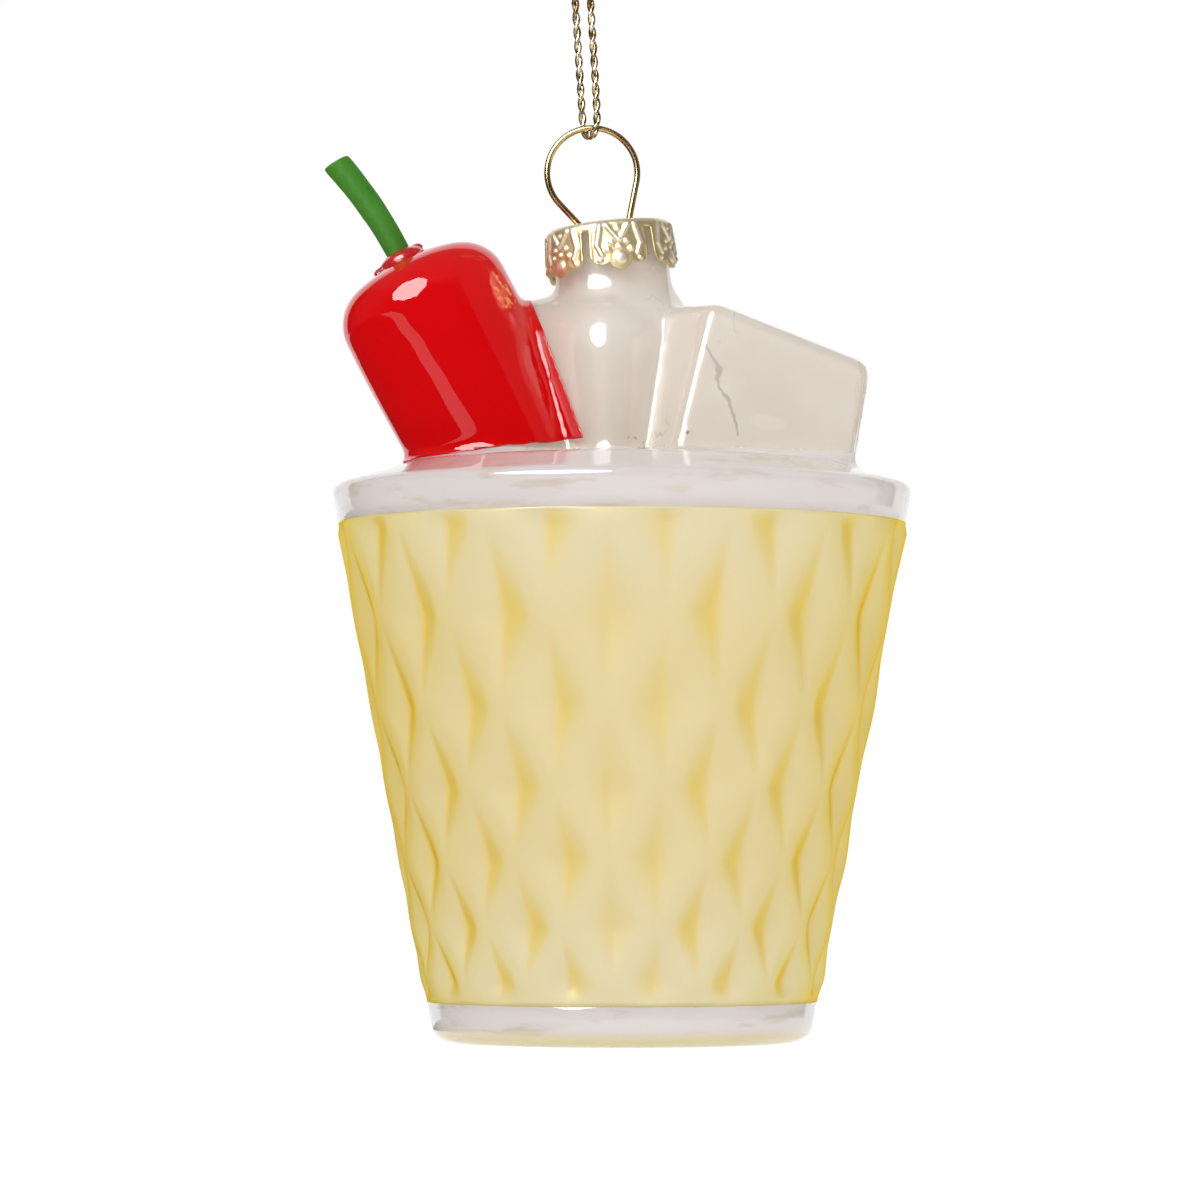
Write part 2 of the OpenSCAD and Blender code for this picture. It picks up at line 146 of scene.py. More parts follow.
def seen_rays(tree):
    """1 for what the eye sees, directly, in a mirror or through glass; 0 for light on the object."""
    ray = add(tree, "LightPath").outputs
    seen = add(tree, "Math", {0: ray["Is Camera Ray"], 1: ray["Is Glossy Ray"]}, operation="MAXIMUM")
    seen = add(tree, "Math", {0: seen.outputs[0], 1: ray["Is Transmission Ray"]}, operation="MAXIMUM")
    return seen.outputs[0]


def set_world():
    """White to the eye, to metal and to glass; a pale grey as the light that falls on the object."""
    world = bpy.data.worlds.new("studio")
    scene.world = world
    world.use_nodes = True
    tree = world.node_tree
    tree.nodes.clear()
    strength = add(tree, "MapRange", {"Value": seen_rays(tree), "To Min": 0.66, "To Max": 1.0})
    back = add(tree, "Background", {"Color": (1, 1, 1, 1), "Strength": strength.outputs[0]})
    add(tree, "OutputWorld", {"Surface": back.outputs[0]})


def glossy_only(name, bm, shade):
    """A studio surface out of sight, that only polished things mirror."""
    mesh = bpy.data.meshes.new(name)
    bm.to_mesh(mesh)
    bm.free()
    mesh.materials.append(shade)
    made = bpy.data.objects.new(name, mesh)
    scene.collection.objects.link(made)
    made.visible_camera = made.visible_diffuse = made.visible_shadow = False
    made.visible_transmission = False


def dim_room():
    """The room that polished pieces mirror: dark in front, with grey boards at both sides and above."""
    bm = lathe([(1.6, -0.5), (1.6, 0.2), (1.6, 0.9), (1.2, 1.5), (0.5, 1.75), (0, 1.8)], 64)
    # it is open at the back, and a dark sheet lies on the floor to the left
    cut_off(bm, (0, 1.2, 0), (0, 1, 0), 0.0001)
    bmesh.ops.create_grid(bm, x_segments=1, y_segments=1, size=0.8,
                          matrix=Matrix.Translation((-1.02, 0.2, FLOOR_Z + 0.005)))
    made, tree, out, at = new_material("dark room with grey boards")
    spot = add(tree, "SeparateXYZ", {"Vector": at}).outputs
    right = add(tree, "MapRange", {"Value": spot["X"], "From Min": 1.18, "From Max": 1.22})
    left = add(tree, "MapRange", {"Value": spot["X"], "From Min": -1.25, "From Max": -1.6, "To Max": 0.5})
    above = add(tree, "MapRange", {"Value": spot["Z"], "From Min": 0.7, "From Max": 1.2})
    share = add(tree, "Math", {0: right.outputs[0], 1: left.outputs[0]}, operation="MAXIMUM")
    share = add(tree, "Math", {0: share.outputs[0], 1: above.outputs[0]}, operation="MAXIMUM")
    tone = add(tree, "Mix", {0: share.outputs[0], 6: linear("#2C2A28"), 7: linear("#7C7A77")},
               data_type="RGBA")
    wall = add(tree, "Emission", {"Color": tone.outputs[2], "Strength": 1.0})
    tree.links.new(wall.outputs[0], out.inputs["Surface"])
    glossy_only("dim_room", bm, made)


def umbrella():
    """The key light's face as polished pieces mirror it: eight bright panels between ribs."""
    bm = bmesh.new()
    bmesh.ops.create_circle(bm, cap_ends=True, cap_tris=True, segments=8, radius=0.42)
    bmesh.ops.inset_individual(bm, faces=bm.faces[:], thickness=0.012)
    turn = (Vector(AIM_AT) - Vector(KEY_AT)).to_track_quat("Z", "Y").to_matrix().to_4x4()
    bmesh.ops.transform(bm, matrix=Matrix.Translation(KEY_AT) @ turn, verts=bm.verts)
    made, tree, out, _ = new_material("lit umbrella cloth")
    cloth = add(tree, "Emission", {"Color": (1, 1, 1, 1), "Strength": 12.0})
    tree.links.new(cloth.outputs[0], out.inputs["Surface"])
    glossy_only("umbrella", bm, made)


def set_stage():
    """Pale floor well under the hanging ornament, white to the eye, and still taking its shadow."""
    bm = bmesh.new()
    bmesh.ops.create_grid(bm, x_segments=1, y_segments=1, size=6)
    bmesh.ops.translate(bm, vec=(0, 0, FLOOR_Z), verts=bm.verts)
    mesh = bpy.data.meshes.new("floor")
    bm.to_mesh(mesh)
    bm.free()
    made, tree, out, _ = new_material("white painted floor")
    paint = add(tree, "BsdfDiffuse", {"Color": linear("#F4F4F4")})
    white = add(tree, "Emission", {"Color": (1, 1, 1, 1), "Strength": 1.12})
    share = add(tree, "Math", {0: seen_rays(tree), 1: 0.8}, operation="MULTIPLY")
    both = add(tree, "MixShader", {0: share.outputs[0], 1: paint.outputs[0], 2: white.outputs[0]})
    tree.links.new(both.outputs[0], out.inputs["Surface"])
    mesh.materials.append(made)
    floor = bpy.data.objects.new("floor", mesh)
    scene.collection.objects.link(floor)
    umbrella()
    add_lamp("soft_key", KEY_AT, 0.6, 0.6, 3.5)
    add_lamp("side_panel", (0.9, -0.45, 0.0), 0.6, 0.9, 2.4)
    add_lamp("rear_panel", (0.1, 0.9, 0.35), 0.8, 0.8, 1.5)
    dim_room()


# Materials

def thin_line(tree, at, start, end, half, sway):
    """Mask of a line on the front of a piece, from start to end in X and Z, in metres: half its width,
    and how far it sways to each side."""
    begin, way = Vector((start[0], 0, start[1])), Vector((end[0] - start[0], 0, end[1] - start[1]))
    side = Vector((way.z, 0, -way.x)).normalized()
    spot = add(tree, "VectorMath", {0: at, 1: begin}, operation="SUBTRACT").outputs[0]
    along = add(tree, "VectorMath", {0: spot, 1: way / way.length_squared}, operation="DOT_PRODUCT")
    off = add(tree, "VectorMath", {0: spot, 1: side}, operation="DOT_PRODUCT")
    # a sway about every 3 mm; the noise keeps within a third of its range
    waver = add(tree, "TexNoise", {"Vector": at, "Scale": 330, "Detail": 2})
    waver = add(tree, "MapRange", {"Value": waver.outputs[0], "To Min": -3 * sway, "To Max": 3 * sway})
    off = add(tree, "Math", {0: off.outputs["Value"], 1: waver.outputs[0]}, operation="ADD")
    off = add(tree, "Math", {0: off.outputs[0]}, operation="ABSOLUTE")
    line = add(tree, "MapRange", {"Value": off.outputs[0], "From Min": 0.4 * half, "From Max": half,
                                  "To Min": 1.0, "To Max": 0.0})
    within = add(tree, "Math", {0: along.outputs["Value"], 1: 0.5, 2: 0.5}, operation="COMPARE")
    front = add(tree, "SeparateXYZ", {"Vector": at}).outputs["Y"]
    front = add(tree, "Math", {0: front, 1: 0.0}, operation="LESS_THAN")
    line = add(tree, "Math", {0: line.outputs[0], 1: within.outputs[0]}, operation="MULTIPLY")
    return add(tree, "Math", {0: line.outputs[0], 1: front.outputs[0]}, operation="MULTIPLY").outputs[0]


def lets_lamps_through(tree, out, glass):
    """Joins a glass to the output so that lamps shine through it."""
    open_way = add(tree, "BsdfTransparent", {"Color": (1, 1, 1, 1)})
    ray = add(tree, "LightPath").outputs
    lamp = add(tree, "Math", {0: ray["Is Shadow Ray"], 1: ray["Is Diffuse Ray"]}, operation="MAXIMUM")
    both = add(tree, "MixShader", {0: lamp.outputs[0], 1: glass, 2: open_way.outputs[0]})
    tree.links.new(both.outputs[0], out.inputs["Surface"])


def hazed_glass(name, gloss):
    """Blown soda-lime glass with a breath of pearl lacquer inside, at the rim and foot: milky white,
    faintly rosy, shiny outside, with brown smears at the rim, and a yellow tinge under the foot
    that is a painted reflection of the yellow wall."""
    made, tree, out, at = new_material(name)
    height = add(tree, "SeparateXYZ", {"Vector": at}).outputs["Z"]
    # smears about 9 mm long, stretched round the rim
    flat = add(tree, "Mapping", {"Vector": at, "Scale": (1, 1, 4)})
    smear = add(tree, "TexNoise", {"Vector": flat.outputs[0], "Scale": 110, "Detail": 3, "Roughness": 0.6})
    smear = add(tree, "MapRange", {"Value": smear.outputs[0], "From Min": 0.56, "From Max": 0.66,
                                   "To Max": 0.8})
    # painted reflection of the yellow wall: pale yellow within about 2 mm of the foot's underside
    foot = add(tree, "MapRange", {"Value": height, "From Min": -0.1590, "From Max": -0.1578,
                                  "To Min": 0.7, "To Max": 0.0})
    tint = add(tree, "Mix", {0: smear.outputs[0], 6: linear("#EAE4E3"), 7: linear("#DED2C4")},
               data_type="RGBA")
    tint = add(tree, "Mix", {0: foot.outputs[0], 6: tint.outputs[2], 7: linear("#F0E09C")},
               data_type="RGBA")
    # ripples of the mould, about 7 mm apart and a few hundredths deep
    ripple = add(tree, "TexNoise", {"Vector": at, "Scale": 140, "Detail": 1})
    bump = add(tree, "Bump", {"Height": ripple.outputs[0], "Strength": 0.25, "Distance": 0.0002})
    glass = add(tree, "BsdfPrincipled", {
        "Base Color": tint.outputs[2], "Roughness": 0.2, "IOR": 1.02, "Transmission Weight": 0.4,
        "Coat Weight": gloss, "Coat Roughness": 0.04, "Coat Normal": bump.outputs[0]})
    lets_lamps_through(tree, out, glass.outputs[0])
    return made


def glass_over_pearl():
    """Clear blown glass on the ice, wavy from the mould, so that lamps mirror in it as bent windows."""
    made, tree, out, at = new_material("blown glass over pearl")
    # waves about 6 mm apart, a fifth of a millimetre deep on the lump and less on the cube
    wave = add(tree, "TexNoise", {"Vector": at, "Scale": 160, "Detail": 1})
    across = add(tree, "SeparateXYZ", {"Vector": at}).outputs["X"]
    depth = add(tree, "MapRange", {"Value": across, "From Min": 0.010, "From Max": 0.014,
                                   "To Min": 0.55, "To Max": 0.2})
    bump = add(tree, "Bump", {"Height": wave.outputs[0], "Strength": depth.outputs[0], "Distance": 0.001})
    glass = add(tree, "BsdfPrincipled", {"Base Color": linear("#FDFCFB"), "Roughness": 0.04, "IOR": 1.5,
                                         "Transmission Weight": 1.0, "Normal": bump.outputs[0]})
    lets_lamps_through(tree, out, glass.outputs[0])
    return made


def pearl_lacquer():
    """Pearl-white lacquer rinsed through the ice from inside: warm, cloudy, a little see-through,
    with hairline streaks where it ran together."""
    made, tree, out, at = new_material("pearl lacquer inside glass")
    # clouds about 12 mm across
    cloud = add(tree, "TexNoise", {"Vector": at, "Scale": 85, "Detail": 4, "Roughness": 0.55})
    tone = add(tree, "MapRange", {"Value": cloud.outputs[0], "From Min": 0.35, "From Max": 0.65})
    base = add(tree, "Mix", {0: tone.outputs[0], 6: linear("#F3ECE4"), 7: linear("#F9F4EE")},
               data_type="RGBA")
    # hairlines: the contour of a slow noise, half a millimetre wide and broken along its length
    warp = add(tree, "TexNoise", {"Vector": at, "Scale": 48, "Detail": 5, "Roughness": 0.62})
    near = add(tree, "Math", {0: warp.outputs[0], 1: 0.5}, operation="SUBTRACT")
    near = add(tree, "Math", {0: near.outputs[0]}, operation="ABSOLUTE")
    line = add(tree, "MapRange", {"Value": near.outputs[0], "From Min": 0.001, "From Max": 0.005,
                                  "To Min": 1.0, "To Max": 0.0})
    gate = add(tree, "TexNoise", {"Vector": at, "Scale": 70, "Detail": 1})
    gate = add(tree, "MapRange", {"Value": gate.outputs[0], "From Min": 0.58, "From Max": 0.66})
    streak = add(tree, "Math", {0: line.outputs[0], 1: gate.outputs[0]}, operation="MULTIPLY")
    base = add(tree, "Mix", {0: streak.outputs[0], 6: base.outputs[2], 7: linear("#CEC5BC")},
               data_type="RGBA")
    # a fine crack, 12 mm long, down the cube from its front edge
    crack = thin_line(tree, at, (0.0166, -0.0741), (0.0209, -0.0850), 0.0003, 0.0006)
    base = add(tree, "Mix", {0: crack, 6: base.outputs[2], 7: linear("#D8CFC5")}, data_type="RGBA")
    body = add(tree, "BsdfPrincipled", {"Base Color": base.outputs[2], "Roughness": 0.3,
                                        "Sheen Weight": 0.1})
    glow = add(tree, "BsdfTranslucent", {"Color": base.outputs[2]})
    both = add(tree, "MixShader", {0: 0.45, 1: body.outputs[0], 2: glow.outputs[0]})
    tree.links.new(both.outputs[0], out.inputs["Surface"])
    return made


def frosted_yellow():
    """Frosted yellow lacquer sprayed on the cut wall: matt and milky face on, and deeper yellow
    where a facet turns away, because the eye then looks through more of the film: the coat's tint."""
    made, tree, out, at = new_material("frosted yellow lacquer")
    # spray mottle about 6 mm across, and fine specks of the frosting at half a millimetre
    mottle = add(tree, "TexNoise", {"Vector": at, "Scale": 160, "Detail": 2})
    mottle = add(tree, "MapRange", {"Value": mottle.outputs[0], "From Min": 0.3, "From Max": 0.7})
    base = add(tree, "Mix", {0: mottle.outputs[0], 6: linear("#F1E8DB"), 7: linear("#F4ECE1")},
               data_type="RGBA")
    # the yellow pales over 11 mm towards its upper edge and 14 mm towards its lower one
    height = add(tree, "SeparateXYZ", {"Vector": at}).outputs["Z"]
    upper = add(tree, "MapRange", {"Value": height, "From Min": -0.1099, "From Max": -0.0989})
    lower = add(tree, "MapRange", {"Value": height, "From Min": -0.1379, "From Max": -0.1519})
    pale_edges = add(tree, "Math", {0: upper.outputs[0], 1: lower.outputs[0]}, operation="MAXIMUM")
    base = add(tree, "Mix", {0: pale_edges.outputs[0], 6: base.outputs[2], 7: linear("#F2EFF2")},
               data_type="RGBA")
    # and deeper yellow in the pits: partly film run into them, partly painted shade
    pit_film_shade = add(tree, "Attribute", attribute_name="valley", attribute_type="GEOMETRY")
    base = add(tree, "Mix", {0: pit_film_shade.outputs["Fac"], 6: base.outputs[2], 7: linear("#F5E6B0")},
               data_type="RGBA")
    frost = add(tree, "TexNoise", {"Vector": at, "Scale": 2000, "Detail": 2})
    rough = add(tree, "MapRange", {"Value": frost.outputs[0], "To Min": 0.3, "To Max": 0.42})
    bump = add(tree, "Bump", {"Height": frost.outputs[0], "Strength": 0.05, "Distance": 0.0001})
    film = add(tree, "BsdfPrincipled", {
        "Base Color": base.outputs[2], "Roughness": rough.outputs[0], "IOR": 1.45,
        "Coat Weight": 1.0, "Coat Roughness": 0.5, "Coat IOR": 1.01, "Coat Tint": linear("#FFF9D0"),
        "Normal": bump.outputs[0]})
    through = add(tree, "BsdfTranslucent", {"Color": linear("#F6E5A6")})
    both = add(tree, "MixShader", {0: 0.25, 1: film.outputs[0], 2: through.outputs[0]})
    tree.links.new(both.outputs[0], out.inputs["Surface"])
    return made


def gloss_red():
    """Red enamel lacquer dipped over the chili: deep colour under a wet gloss, a few gold flecks
    where it thins at the crease beside the ice."""
    made, tree, out, at = new_material("gloss red enamel")
    # slow change of depth, about 15 mm across
    depth = add(tree, "TexNoise", {"Vector": at, "Scale": 65, "Detail": 2})
    base = add(tree, "Mix", {0: depth.outputs[0], 6: linear("#CB0307"), 7: linear("#DD0B10")},
               data_type="RGBA")
    # flecks of about 0.9 mm, within 3 mm of a spot on the crease
    away = add(tree, "VectorMath", {0: at, 1: (-0.0079, -0.0072, -0.0667)}, operation="DISTANCE")
    close = add(tree, "MapRange", {"Value": away.outputs["Value"], "From Min": 0.0012, "From Max": 0.0028,
                                   "To Min": 1.0, "To Max": 0.0})
    fleck = add(tree, "TexNoise", {"Vector": at, "Scale": 1100, "Detail": 2})
    fleck = add(tree, "MapRange", {"Value": fleck.outputs[0], "From Min": 0.56, "From Max": 0.60})
    fleck = add(tree, "Math", {0: fleck.outputs[0], 1: close.outputs[0]}, operation="MULTIPLY")
    base = add(tree, "Mix", {0: fleck.outputs[0], 6: base.outputs[2], 7: linear("#E9A45C")},
               data_type="RGBA")
    # runs of the dip, about 8 mm apart
    ripple = add(tree, "TexNoise", {"Vector": at, "Scale": 120, "Detail": 1})
    bump = add(tree, "Bump", {"Height": ripple.outputs[0], "Strength": 0.12, "Distance": 0.0002})
    skin = add(tree, "BsdfPrincipled", {
        "Base Color": base.outputs[2], "Roughness": 0.4, "IOR": 1.5, "Specular IOR Level": 0.0,
        "Coat Weight": 1.0, "Coat Roughness": 0.03, "Normal": bump.outputs[0],
        "Coat Normal": bump.outputs[0]})
    tree.links.new(skin.outputs[0], out.inputs["Surface"])
    return made


def stem_plastic():
    """Green polythene stem, extruded and cut: even matt green with faint lines along it."""
    made, tree, out, at = new_material("matt green polythene")
    turned = add(tree, "Mapping", {"Vector": at, "Rotation": (0, CHILI_LEAN, 0), "Scale": (1, 1, 0.06)})
    # draw lines about 0.5 mm apart along the stem, and soft blotches 4 mm across
    grain = add(tree, "TexNoise", {"Vector": turned.outputs[0], "Scale": 1900, "Detail": 2})
    blotch = add(tree, "TexNoise", {"Vector": at, "Scale": 250, "Detail": 2})
    base = add(tree, "Mix", {0: blotch.outputs[0], 6: linear("#327416"), 7: linear("#458A22")},
               data_type="RGBA")
    base = add(tree, "Mix", {0: 0.25, 6: base.outputs[2], 7: grain.outputs[1]},
               data_type="RGBA", blend_type="SOFT_LIGHT")
    bump = add(tree, "Bump", {"Height": grain.outputs[0], "Strength": 0.3, "Distance": 0.00006})
    skin = add(tree, "BsdfPrincipled", {"Base Color": base.outputs[2], "Roughness": 0.6,
                                        "Specular IOR Level": 0.2, "Normal": bump.outputs[0]})
    tree.links.new(skin.outputs[0], out.inputs["Surface"])
    return made


def glue_red():
    """Hot-melt glue stained red by the enamel: dark in the thick drops, clear at their edges."""
    made, tree, out, at = new_material("red stained glue")
    # swirls of about 2 mm
    swirl = add(tree, "TexNoise", {"Vector": at, "Scale": 500, "Detail": 2})
    base = add(tree, "Mix", {0: swirl.outputs[0], 6: linear("#A00C10"), 7: linear("#D81E22")},
               data_type="RGBA")
    skin = add(tree, "BsdfPrincipled", {"Base Color": base.outputs[2], "Roughness": 0.24, "IOR": 1.48,
                                        "Coat Weight": 0.6, "Coat Roughness": 0.05})
    tree.links.new(skin.outputs[0], out.inputs["Surface"])
    return made


def gold_sheet():
    """Pale gold anodised sheet, stamped: painted highlight on the raised ribs and beads, painted shade,
    brown, in the ground between them, with fine rolling marks."""
    made, tree, out, at = new_material("stamped gold anodised aluminium")
    # painted highlight on the raised stamping and painted shade in the ground, by the relief's height
    raised = add(tree, "Attribute", attribute_name="relief", attribute_type="GEOMETRY")
    stamp_highlight_and_shade = add(tree, "Mix", {0: raised.outputs["Fac"], 6: linear("#E0CB98"), 7: linear("#FFF8E8")},
                 data_type="RGBA")
    # tarnish in patches of about 1.5 mm
    worn = add(tree, "TexNoise", {"Vector": at, "Scale": 650, "Detail": 3})
    worn = add(tree, "MapRange", {"Value": worn.outputs[0], "From Min": 0.45, "From Max": 0.75,
                                  "To Max": 0.5})
    base = add(tree, "Mix", {0: worn.outputs[0], 6: stamp_highlight_and_shade.outputs[2], 7: linear("#D6BE88")},
               data_type="RGBA")
    # rolling marks of a third of a millimetre, coarser than real ones so that they show
    mark = add(tree, "TexNoise", {"Vector": at, "Scale": 3000, "Detail": 1})
    rough = add(tree, "MapRange", {"Value": mark.outputs[0], "To Min": 0.34, "To Max": 0.46})
    metal = add(tree, "BsdfPrincipled", {"Base Color": base.outputs[2], "Metallic": 0.8,
                                         "Roughness": rough.outputs[0]})
    tree.links.new(metal.outputs[0], out.inputs["Surface"])
    return made


def bronze_wire():
    """Bronze-plated spring wire: smooth drawn metal, gold where it is bright and brown where worn."""
    made, tree, out, at = new_material("bronzed spring wire")
    # plating worn in lengths of about 3 mm
    worn = add(tree, "TexNoise", {"Vector": at, "Scale": 330, "Detail": 3})
    base = add(tree, "Mix", {0: worn.outputs[0], 6: linear("#A07C48"), 7: linear("#E4C88E")},
               data_type="RGBA")
    rough = add(tree, "MapRange", {"Value": worn.outputs[0], "To Min": 0.12, "To Max": 0.3})
    metal = add(tree, "BsdfPrincipled", {"Base Color": base.outputs[2], "Metallic": 1.0,
                                         "Roughness": rough.outputs[0]})
    tree.links.new(metal.outputs[0], out.inputs["Surface"])
    return made


def gold_yarn():
    """Metallised yarn: foil strips twisted together, each glinting at its own angle, with painted glints:
    bright and dark patches in its colour.
    """
    made, tree, out, at = new_material("twisted gold foil yarn")
    # painted glints: bright and dark patches about 0.8 mm long; the same noise bumps the foil
    glint_paint_and_bump = add(tree, "TexNoise", {"Vector": at, "Scale": 1300, "Detail": 2})
    share = add(tree, "MapRange", {"Value": glint_paint_and_bump.outputs[0], "From Min": 0.38, "From Max": 0.62})
    base = add(tree, "Mix", {0: share.outputs[0], 6: linear("#6A5430"), 7: linear("#F3E6C2")},
               data_type="RGBA")
    bump = add(tree, "Bump", {"Height": glint_paint_and_bump.outputs[0], "Strength": 0.6, "Distance": 0.0002})
    foil = add(tree, "BsdfPrincipled", {"Base Color": base.outputs[2], "Metallic": 1.0, "Roughness": 0.28,
                                        "Normal": bump.outputs[0]})
    tree.links.new(foil.outputs[0], out.inputs["Surface"])
    return made


# Shaping

def lathe(profile, steps):
    """Spins a half outline of radii and heights about the upright axis."""
    bm = bmesh.new()
    verts = [bm.verts.new((r, 0, z)) for r, z in profile]
    edges = [bm.edges.new(pair) for pair in zip(verts, verts[1:])]
    bmesh.ops.spin(bm, geom=verts + edges, cent=(0, 0, 0), axis=(0, 0, 1), dvec=(0, 0, 0),
                   angle=2 * math.pi, steps=steps, use_merge=True)
    bmesh.ops.remove_doubles(bm, verts=bm.verts, dist=0.002)
    bmesh.ops.recalc_face_normals(bm, faces=bm.faces)
    outward = sum(f.normal.x * f.calc_center_median().x + f.normal.y * f.calc_center_median().y
                  for f in bm.faces)
    if outward < 0:
        bmesh.ops.reverse_faces(bm, faces=bm.faces)
    return bm


def cut_off(bm, place, off, near=0.001):
    """Cuts the mesh at a plane and drops what lies beyond it, in the direction of off."""
    bmesh.ops.bisect_plane(bm, geom=bm.verts[:] + bm.edges[:] + bm.faces[:], dist=near,
                           plane_co=place, plane_no=off, clear_outer=True)


def soften(bm, rounds):
    """Evens out the whole mesh a little, round by round."""
    for _ in range(rounds):
        bmesh.ops.smooth_vert(bm, verts=bm.verts, factor=0.5, use_axis_x=True, use_axis_y=True,
                              use_axis_z=True)


def ease(bm, edges, offset, segments):
    """Rounds edges with a bevel."""
    bmesh.ops.bevel(bm, geom=edges, offset=offset, offset_type="OFFSET", segments=segments, profile=0.5,
                    affect="EDGES", clamp_overlap=True, material=-1)


def arc(middle, radius, start, end, steps):
    """Points of a round corner in a half outline, with its ends in degrees."""
    turns = [math.radians(start + (end - start) * i / steps) for i in range(steps + 1)]
    return [(middle[0] + radius * math.cos(a), middle[1] + radius * math.sin(a)) for a in turns]


def spaced(low, high, count):
    """Even steps from low to high, with both ends."""
    return [low + (high - low) * i / count for i in range(count + 1)]


def smooth_step(low, high, value):
    """0 at low and beyond, 1 at high and beyond, with an even rise between."""
    t = min(1.0, max(0.0, (value - low) / (high - low)))
    return t * t * (3 - 2 * t)


def joined(shapes):
    """One bmesh from several, which are used up."""
    whole = bmesh.new()
    for bm in shapes:
        mesh = bpy.data.meshes.new("join")
        bm.to_mesh(mesh)
        bm.free()
        whole.from_mesh(mesh)
        bpy.data.meshes.remove(mesh)
    return whole


def fused(bm, voxel):
    """The bmesh's overlapping solids as one skin of even quads."""
    mesh = bpy.data.meshes.new("fuse")
    bm.to_mesh(mesh)
    bm.free()
    lump = bpy.data.objects.new("fuse", mesh)
    scene.collection.objects.link(lump)
    remesh = lump.modifiers.new("fuse", "REMESH")
    remesh.mode = "VOXEL"
    remesh.voxel_size = voxel
    graph = bpy.context.evaluated_depsgraph_get()
    skin = bpy.data.meshes.new_from_object(lump.evaluated_get(graph))
    whole = bmesh.new()
    whole.from_mesh(skin)
    bpy.data.objects.remove(lump)
    bpy.data.meshes.remove(mesh)
    bpy.data.meshes.remove(skin)
    return whole


def fill_creases(bm, rounds):
    """Lets glass flow into inner corners: points move out towards their neighbours, and hardly in."""
    for _ in range(rounds):
        bm.normal_update()
        moves = []
        for v in bm.verts:
            near = [e.other_vert(v).co for e in v.link_edges]
            pull = sum(near, Vector()) / len(near) - v.co
            out = pull.dot(v.normal)
            along = pull - v.normal * out
            moves.append(v.normal * (0.9 * out if out > 0 else 0.12 * out) + 0.3 * along)
        for v, move in zip(bm.verts, moves):
            v.co += move


def piece(name, bm, matrix, body, slot, replaced, *materials):
    """Makes the object at the origin with its place in its mesh, and ties it to the frame."""
    bmesh.ops.transform(bm, matrix=matrix, verts=bm.verts)
    mesh = bpy.data.meshes.new(name)
    bm.to_mesh(mesh)
    bm.free()
    for m in materials:
        mesh.materials.append(m)
    mesh.shade_smooth()
    made = bpy.data.objects.new(name, mesh)
    scene.collection.objects.link(made)
    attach(made, body)
    if replaced:
        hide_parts(*replaced)
    return made


def thicken(made, thickness, offset, even=True, material_offset=0):
    """Gives a skin its wall, inward with an offset of -1 and outward with 1."""
    wall = made.modifiers.new("thickness", "SOLIDIFY")
    wall.thickness = thickness * MM
    wall.offset = offset
    wall.use_even_offset = even
    wall.material_offset = material_offset
    wall.use_quality_normals = True


# Tumbler

def taper(z):
    """Radius of the plain wall at a height."""
    return FOOT_R + (RIM_R - FOOT_R) * (z - FOOT_H) / (RIM_Z - FOOT_H)


ROW_SHARES = [sum(ROW_SHRINK ** k for k in range(i)) for i in range(ROWS + 1)]
ROW_Z = [ROW_TOP - ROW_SPAN * s / ROW_SHARES[-1] for s in ROW_SHARES]
ROW_GRID = [a + (b - a) * k / CELL_STEPS for a, b in zip(ROW_Z, ROW_Z[1:]) for k in range(CELL_STEPS)]
ROW_GRID += [ROW_Z[-1]]


def column_at(angle):
    """Column number at a turn round the wall, counted from the front, with its fraction."""
    return (angle + math.pi / 2 - CUT_TURN) / HALF_PITCH


def row_at(z):
    """Row number at a height, counted down from the rim, with its fraction."""
    i = next((k for k in range(ROWS - 1) if z > ROW_Z[k + 1]), ROWS - 1)
    return i + (ROW_Z[i] - z) / (ROW_Z[i] - ROW_Z[i + 1])


def lean(angle):
    """Which way a pit leans: -1 left of the front and right of the back, 1 on the other quarters."""
    return min(1.0, max(-1.0, 2 * math.sin(2 * (angle + math.pi / 2))))


def pit_row(column, row):
    """Distance in rows to the nearest pit of a column; the pits of odd columns stand on even rows."""
    return abs((row + column) % 2 - 1)


def pit_depth(angle, z):
    """Depth of the cut: wedge-shaped pits with flat sides and a sharp crease down the middle."""
    column, row = column_at(angle), row_at(z)
    near = [1 - pit_row(at, row) / PIT_RUN - abs(column - at) / PIT_REACH
            for at in (math.floor(column), math.ceil(column))]
    return PIT_DEPTH * max(0.0, *near) ** 1.12


def pit_film_and_shade(angle, z):
    """Where the yellow deepens: partly film that ran into each pit, partly painted shade of the pit, on its
    side towards the front or the back, and four times as strong on the slants as straight in front, behind
    or at the sides.
    """
    column, row = column_at(angle), row_at(z)
    aside, pit_weight = abs(lean(angle)), 0.0
    for at in (math.floor(column), math.ceil(column)):
        inner = (column - at) * lean(angle) <= 0
        reach = PIT_REACH + 0.3 * aside if inner else PIT_REACH - 0.5 * aside
        near = 1 - pit_row(at, row) / PIT_RUN - abs(column - at) / reach
        pit_weight = max(pit_weight, smooth_step(0.0, 0.85, near))
    return (0.25 + 0.75 * aside) * pit_weight


def bent(angle, z):
    """The angle moved with the creases, which bend outward above and below each pit."""
    column, row = column_at(angle), row_at(z)
    even = math.cos(math.pi * column / 2) ** 2
    shift = even * pit_row(0, row) + (1 - even) * pit_row(1, row)
    return angle + PIT_BEND * HALF_PITCH * lean(angle) * shift


def cut_share(z):
    """How much of the relief is there at a height: none at the two plain edges."""
    return smooth_step(COAT_TOP, COAT_TOP - 1.2, z) * smooth_step(FOOT_H, FOOT_H + 3.2, z)


